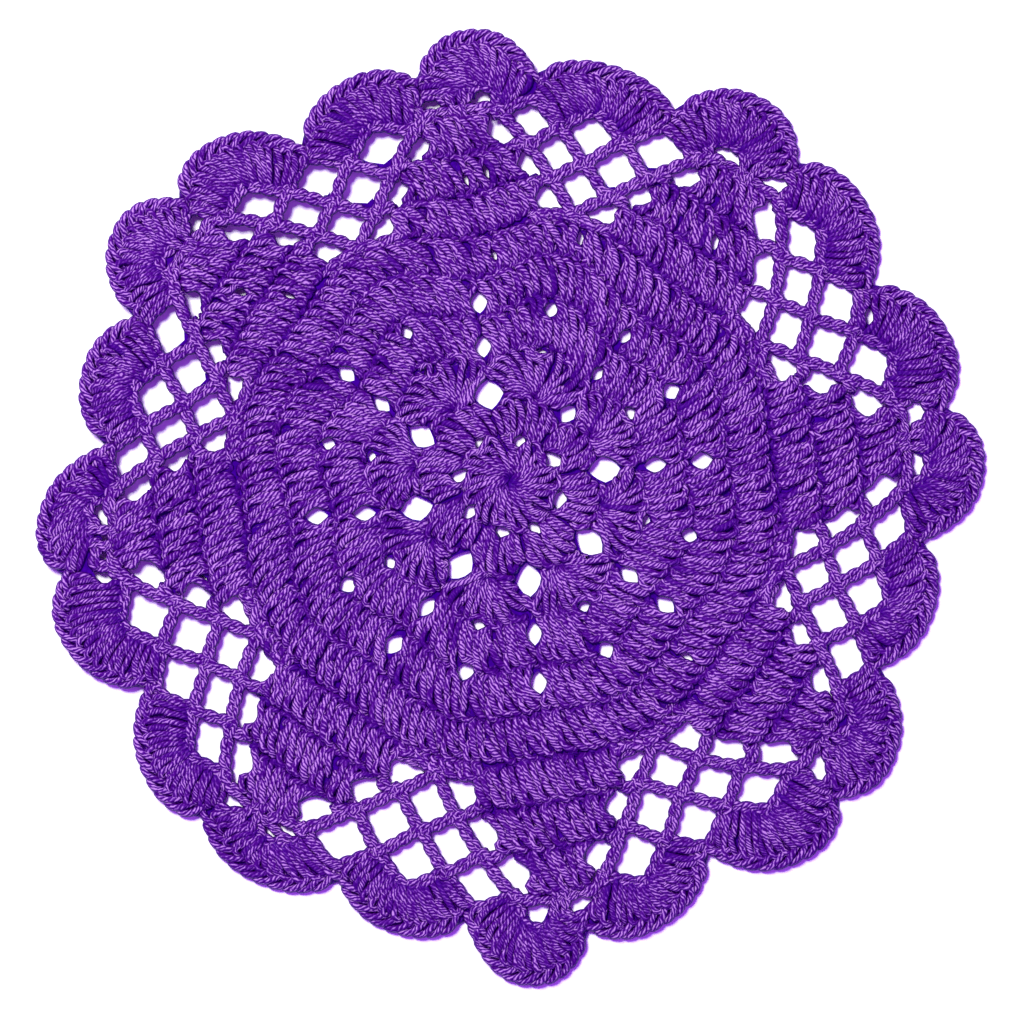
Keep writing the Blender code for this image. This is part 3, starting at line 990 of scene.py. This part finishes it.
def along_line(line, place, aside):
    """Points at run place (m) and sideways distance aside (m) from a line (p, 2)."""
    run = run_along(line)
    inside = np.clip(place, 0, run[-1])
    at = np.stack([np.interp(inside, run, line[:, i]) for i in (0, 1)], -1)
    tangent = np.gradient(line, axis=0)
    tangent /= np.linalg.norm(tangent, axis=1, keepdims=True)
    t = np.stack([np.interp(inside, run, tangent[:, i]) for i in (0, 1)], -1)
    t /= np.linalg.norm(t, axis=-1, keepdims=True)
    at = at + t * (place - inside)[..., None]
    return at + np.stack((-t[..., 1], t[..., 0]), -1) * np.asarray(aside)[..., None]


def run_length(line):
    return np.linalg.norm(np.diff(line, axis=0), axis=1).sum()


def loops_along(line, link, drawn, scatter, unevenness):
    """Centres (n, p, 3) of a drawn loop repeated along a line; drawn has run in links, aside in m."""
    total = run_length(line)
    count = max(2, round(total / link))
    pitch = total / count
    start = np.arange(count)[:, None] * pitch
    place = start + drawn[None, :, 0] * pitch + luck.normal(0, scatter * pitch, (count, 1))
    flat = along_line(line, place, drawn[None, :, 1])
    z = (drawn[None, :, 2] + luck.normal(0, unevenness, (count, 1))) * MM
    return np.concatenate((flat, z[..., None]), -1)


def loop_batch(centres, radius, twist):
    """The batch for repeated loops: thinner at both ends, and no two alike bright."""
    radii = np.full(centres.shape[:2], radius)
    radii[:, (0, -1)] *= LEG_ENDS
    tones_and_shades = np.clip(1.0 + luck.normal(0, 0.15, len(centres)), 0.5, 1.5)
    return centres, radii, np.full(len(centres), twist), tones_and_shades, SIDES


def core_batch(line, place, aside, level, radius):
    """The batch for one plain strand that runs along under the loops."""
    flat = along_line(line, place[None], aside)
    centres = np.concatenate((flat, np.full(flat.shape[:2] + (1,), level)), -1)
    radii = np.full(centres.shape[:2], radius)
    return centres, radii, np.full(1, CORE_TWIST), np.full(1, CORE_PAINTED_SHADE), SIDES


def chain(line, lift=0.0, width=1.0):
    """Batches for one chain along a line (p, 2)."""
    batches = []
    leg = smooth_line(CHAIN_LEG, 7)
    for side in (1, -1):
        drawn = leg * (1, side * LEG_ASIDE * width, 1)
        centres = loops_along(line, LINK, drawn, 0.02, 0.08)
        centres[..., 2] += lift
        batches.append(loop_batch(centres, LEG_RADIUS * width, 0.85))
    total = run_length(line)
    links = max(2, round(total / LINK))
    overlap = 0.2 * total / links
    place = np.linspace(-overlap, total + overlap, 3 * links + 1)
    batches.append(core_batch(line, place, 0.0, CORE_LEVEL + lift, CORE_RADIUS))
    return batches


# %% [markdown]
# ## The net of the fans
# Each arch starts and ends on the tops of the arches below, or on the shoulder
# of a petal's row, and passes just outside its own hole. A sill closes the foot
# of each fan; two ties and a short bar join a petal's tip to the border.

# %% The net
CHAIN_REACH = 2.0 * MM
NET_WIDTH = 1.42
TIE_WIDTH = 1.15
ARCH_BOW = 0.9 * MM
BORDER_SINK = 0.6 * MM
ROW_LIFT = 0.05 * MM
FOOT_RADIUS = 86.0 * MM
SILL_RADIUS = 85.6 * MM
SILL_SPAN = (0.6, 9.0)      # degrees from a fan's axis, on either side
TIP_RADIUS = 121.8 * MM
TIP_HALF = 5.0
# Where each row's outermost chains are hooked into a petal: degrees from the
# petal's axis, and the radius of the row's shoulder.
SHOULDERS = ((13.4, 94.6 * MM), (8.8, 107.9 * MM), (3.4, 121.4 * MM), (1.0, 124.5 * MM))


def top_of(h):
    return laid(h.angle, h.radius + h.height / 2 + CHAIN_REACH)


def shoulder(spoke, row, side):
    aside, radius = SHOULDERS[row]
    return laid((spoke + side) * SPOKE_STEP - side * aside, radius)


def arch_ends(spoke, row, k):
    """The two points where the chain over hole k of a row is hooked."""
    count = NET[row].holes
    h = NET_HOLES[spoke, row, k]
    if row == 0:
        foot = laid(spoke * SPOKE_STEP, FOOT_RADIUS)
        return (shoulder(spoke, 0, -1), foot) if k == 0 else (foot, shoulder(spoke, 0, 1))
    start = top_of(NET_HOLES[spoke, row - 1, k - 1]) if k > 0 else shoulder(spoke, row, -1)
    end = top_of(NET_HOLES[spoke, row - 1, k]) if k < count - 1 else shoulder(spoke, row, 1)
    return start, end


def round_openings(line):
    """A chain's line, kept well off the openings that aren't part of the even pattern."""
    return clear_of_gaps(line, margin=1.9 * MM, power=2.0, first=len(OPEN_HOLES))


def arch_line(spoke, row, k):
    start, end = arch_ends(spoke, row, k)
    top = top_of(NET_HOLES[spoke, row, k])
    bow = unit(top) * ARCH_BOW
    left = (start + top) / 2 + bow
    right = (end + top) / 2 + bow
    return round_openings(smooth_line(np.array([start, left, top, right, end]), 25))


chains = []
for spoke in FANS:
    for row, table in enumerate(NET):
        lift = -BORDER_SINK if row == LAST_ROW else ROW_LIFT * row
        for k in range(table.holes):
            chains += chain(arch_line(spoke, row, k), lift, NET_WIDTH)
for spoke in FANS:
    for side in (-1, 1):
        chains += chain(laid(spoke * SPOKE_STEP + side * np.linspace(*SILL_SPAN, 9), SILL_RADIUS))
for spoke in PETALS:
    bar = laid(spoke * SPOKE_STEP + np.linspace(TIP_HALF, -TIP_HALF, 9), TIP_RADIUS)
    chains += chain(round_openings(bar))
for spoke in PETALS:
    for side in (-1, 1):
        share = np.linspace(0, 1, 9)
        tie = laid(spoke * SPOKE_STEP + side * (0.5 + 0.5 * share), (117.5 + 10.5 * share) * MM)
        chains += chain(round_openings(tie), 0.1 * MM, TIE_WIDTH)
add_strands("net", chains)

# %% [markdown]
# ## Knots of the net
# Each arch is hooked over the one below with a single crochet: two legs that
# meet at the top, under one bar, across the top of the hole below.

# %% Knots
KNOT = [Strand(*row) for row in (
    ("left leg", 0.95, 0.6,
     ((0.18, 0.05, 1.5), (0.24, 0.35, 2.5), (0.38, 0.65, 2.9), (0.44, 0.95, 2.1))),
    ("right leg", 0.95, 0.6,
     ((0.86, 0.05, 1.5), (0.76, 0.35, 2.5), (0.62, 0.65, 2.9), (0.54, 0.95, 2.1))),
    ("bar", 0.90, 0.3,
     ((0.12, 0.78, 1.7), (0.32, 0.94, 2.6), (0.66, 0.94, 2.6), (0.88, 0.78, 1.7))),
)]
KNOT_WIDTH = 4.0 * MM
KNOT_HEIGHT = 4.4 * MM
cells = []
for (spoke, row, k), h in NET_HOLES.items():
    if row == LAST_ROW:
        continue
    ahead = unit(laid(h.angle - 1, h.radius) - laid(h.angle + 1, h.radius)) * KNOT_WIDTH / 2
    out = unit(np.array((-ahead[1], ahead[0]))) * KNOT_HEIGHT / 2
    centre = top_of(h) + out * 0.25
    cells.append((centre - ahead - out, centre + ahead - out, centre + ahead + out, centre - ahead + out))
add_strands("net_knots", work(KNOT, cells, gaps=False, samples=7))

# %% [markdown]
# ## Scallops
# The border is twenty shells of long stitches that stand on one arch of the
# net and reach the rim, so a scallop first looks for the arch nearest to it.

# %% Shells of the border
RIM_WIDTH = 4.2 * MM
SCALLOP_STITCHES = 11
LINE_POINTS = 61
# Painted shade: a shell is painted dark at its feet and a little darker overall.
SHELL_PAINTED_SHADE = ((0.03, 0.20), (0.42, 0.80))
BORDER_KEYS = [key for key in NET_HOLES if key[1] == LAST_ROW]
BORDER_TOPS = np.array([top_of(NET_HOLES[key]) for key in BORDER_KEYS])
ticks = np.linspace(0, LINE_POINTS - 1, SCALLOP_STITCHES + 1).round().astype(int)
groups = []
for line in border(LINE_POINTS, RIM_WIDTH):
    chord = (line[0] + line[-1]) / 2
    spoke, row, index = BORDER_KEYS[np.argmin(np.linalg.norm(BORDER_TOPS - chord, axis=1))]
    start, end = arch_ends(spoke, row, index)
    top = top_of(NET_HOLES[spoke, row, index])
    bow = unit(top) * ARCH_BOW
    base = smooth_line(np.array([start + bow, (start + 2 * top) / 3, top - bow,
                                 (end + 2 * top) / 3, end + bow]), LINE_POINTS)
    if np.dot(base[0] - base[-1], line[0] - line[-1]) < 0:
        base = base[::-1]
    groups.append(strip_cells(base[ticks][::-1], line[ticks][::-1]))
scallop_cells = np.concatenate(groups)
add_strands("scallops", work(LONG_STITCH, scallop_cells, painted_shade=SHELL_PAINTED_SHADE))
print(len(groups), "shells of", SCALLOP_STITCHES, "stitches")

# %% [markdown]
# ## The rim
# Last, one slanting loop after another is drawn over the tops of the shells.
# They overlap into a braid, with a plain strand below that closes it. Then the
# backs of the shells are laid.

# %% Rim braid
RIM_LOOP = (
    (-0.30, -0.05, 1.3), (0.10, 0.14, 2.2), (0.50, 0.45, 2.6), (0.95, 0.76, 2.4),
    (1.40, 0.88, 1.9), (1.80, 0.86, 1.3),
)
RIM_PITCH = 4.6 * MM
RIM_LOOP_RADIUS = 1.20 * MM
RIM_CORE_RADIUS = 1.05 * MM
RIM_CORE_LEVEL = 1.1 * MM
loop = smooth_line(RIM_LOOP, 10)
loop[:, 1] = (loop[:, 1] - 1.1) * RIM_WIDTH
rims = []
for line in border(LINE_POINTS):
    line = line[::-1]
    total = run_length(line)
    rims.append(loop_batch(loops_along(line, RIM_PITCH, loop, 0.04, 0.06), RIM_LOOP_RADIUS, 0.65))
    place = np.linspace(0, total, 3 * round(total / RIM_PITCH) + 1)
    rims.append(core_batch(line, place, -0.45 * RIM_WIDTH, RIM_CORE_LEVEL, RIM_CORE_RADIUS))
add_strands("rims", rims)
add_strands("scallop_backs", work(BACK, scallop_cells, samples=6, sides=5))

# %% [markdown]
# ## The bed of the cloth
# Behind the loops that show lies more yarn, pressed into one layer. One thin
# closed sheet stands for it: the outline drawn in a little, and every gap cut
# through a little wider than it shows. Its violet is painted darker than the
# yarn's: painted shade, since it lies under the loops.

# %% Gaps of the bed
BED_LOW = 1.0 * MM
BED_HIGH = 1.7 * MM
BED_INSET = 1.8 * MM
NET_GROWTH = 7.4 * MM
GAP_GROWTH = 0.4 * MM
OPENING_GROWTH = 1.2
SMALLEST_ISLAND = 40 * MM ** 2
HOLE_TURN = 2 * np.pi * np.arange(HOLE_POINTS) / HOLE_POINTS
HOLE_OUT, HOLE_ALONG = np.cos(HOLE_TURN), np.sin(HOLE_TURN)
HOLE_ROUND = (np.abs(HOLE_ALONG) ** HOLE_SQUARENESS
              + np.abs(HOLE_OUT) ** HOLE_SQUARENESS) ** (-1 / HOLE_SQUARENESS)


def hole_outline(h):
    grow = NET_GROWTH if isinstance(h.row, int) else GAP_GROWTH
    aside = np.degrees(0.5 * (h.width + grow) * HOLE_ALONG * HOLE_ROUND / h.radius)
    return laid(h.angle + aside, h.radius + 0.5 * (h.height + grow) * HOLE_OUT * HOLE_ROUND)


def opening_outline(opening):
    x = (opening.long + OPENING_GROWTH) / 2 * HOLE_OUT
    y = (opening.wide + OPENING_GROWTH) / 2 * HOLE_ALONG
    lean = math.radians(opening.lean)
    across = opening.x + x * math.cos(lean) - y * math.sin(lean)
    up = opening.y + x * math.sin(lean) + y * math.cos(lean)
    return np.stack((across, up), -1) * MM


print(len(HOLE_TURN), "points round a gap of the bed")

# %% [markdown]
# ## One closed sheet
# The flat pattern of outline and gaps is split into triangles at once, which
# keeps every gap. Then it gets a top, an underside and walls.

# %% The sheet
# Painted shade: the bed is coloured a darker violet than the yarn because it lies under the loops.
PACKED_SHADE_VIOLET = (0.044, 0.0006, 0.215, 1)
PACKED_SHADE_DARK = (0.030, 0.0004, 0.155, 1)


def main_patches(spots, faces):
    """The faces without the small islands that are left between the chains of the net."""
    faces = np.array(faces)
    patch = np.arange(len(spots))
    while (patch[faces] != patch[faces].min(1, keepdims=True)).any():
        np.minimum.at(patch, faces, patch[faces].min(1, keepdims=True))
    a, b, c = np.array(spots)[faces].transpose(1, 0, 2)
    area = np.bincount(patch[faces[:, 0]], abs(np.cross(b - a, c - a)) / 2)
    return faces[area[patch[faces[:, 0]]] > SMALLEST_ISLAND].tolist()


def bed_mesh(name):
    rim = np.concatenate([line[:-1] for line in border(13, BED_INSET)])
    loops = [rim] + [hole_outline(h) for h in OPEN_HOLES] + [opening_outline(o) for o in OPENINGS]
    points = [tuple(p) for p in np.concatenate(loops)]
    ends = np.cumsum([len(loop) for loop in loops])
    rings = [list(range(end - len(loop), end)) for end, loop in zip(ends, loops)]
    spots, _, faces, _, _, origin = delaunay_2d_cdt(points, [], rings, 0, 1e-7, True)
    kept = main_patches(spots, [face for face, ids in zip(faces, origin) if ids == [0]])
    form = bmesh.new()
    raised = lift_off(np.array([(*spot, 0.0) for spot in spots]))
    under = [form.verts.new(p + (0, 0, BED_LOW)) for p in raised]
    over = [form.verts.new(p + (0, 0, BED_HIGH)) for p in raised]
    for face in kept:
        form.faces.new([over[v] for v in face])
        form.faces.new([under[v] for v in reversed(face)])
    edges = dict.fromkeys((a, b) for face in kept for a, b in zip(face, face[1:] + face[:1]))
    for a, b in edges:
        if (b, a) not in edges:
            form.faces.new((under[a], under[b], over[b], over[a]))
    bmesh.ops.delete(form, geom=[v for v in form.verts if not v.link_faces], context="VERTS")
    bmesh.ops.recalc_face_normals(form, faces=form.faces)
    mesh = bpy.data.meshes.new(name)
    form.to_mesh(mesh)
    area = sum(f.calc_area() for f in form.faces) / 2
    form.free()
    return mesh, area


def bed_material():
    g = Graph("packed_yarn")
    spot = g.node("ShaderNodeTexCoord", {}, {}, "Object")
    clumps = g.node("ShaderNodeTexVoronoi", {"feature": "F1"}, {"Vector": spot, "Scale": 700.0}, "Distance")
    # Both colours are painted shade; the clumps are lighter at their middles.
    colour = g.ramp(clumps, ((0.1, PACKED_SHADE_VIOLET), (0.7, PACKED_SHADE_DARK)))
    g.bump(clumps, 0.7, 0.4 * MM)
    return g.finish({"Base Color": colour, "Roughness": 0.7, "Specular IOR Level": 0.0})


mesh, bed_area = bed_mesh("bed")
bed = add_piece("bed", mesh, len(mesh.polygons), bed_material())
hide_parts("doily")

# %% [markdown]
# ## The floor
# A wide matt sheet of white paper. It belongs to the stage, not to the mat.

# %% Floor
FLOOR_SIZE = 24
PAPER_WHITE = (0.93, 0.93, 0.93, 1)
bpy.ops.mesh.primitive_plane_add(size=FLOOR_SIZE, location=(0, 0, 0))
floor = bpy.context.object
floor.name = "floor"
paper = Graph("white_paper")
floor.data.materials.append(paper.finish({"Base Color": PAPER_WHITE, "Roughness": 0.9,
                                          "Specular IOR Level": 0.1}))
print("floor", FLOOR_SIZE, "m wide")

# %% [markdown]
# ## The cloth's size
# The bed is the cloth of this object, and the yarn lies on it. It was
# worked flat, so its flat size is its own width and height; its area is measured
# on the mesh, and printed as a share of that size.

# %% Size of the cloth
WORKED = (0.2845, 0.287)
print("bed area", round(bed_area, 5), "share", round(bed_area / (WORKED[0] * WORKED[1]), 3))
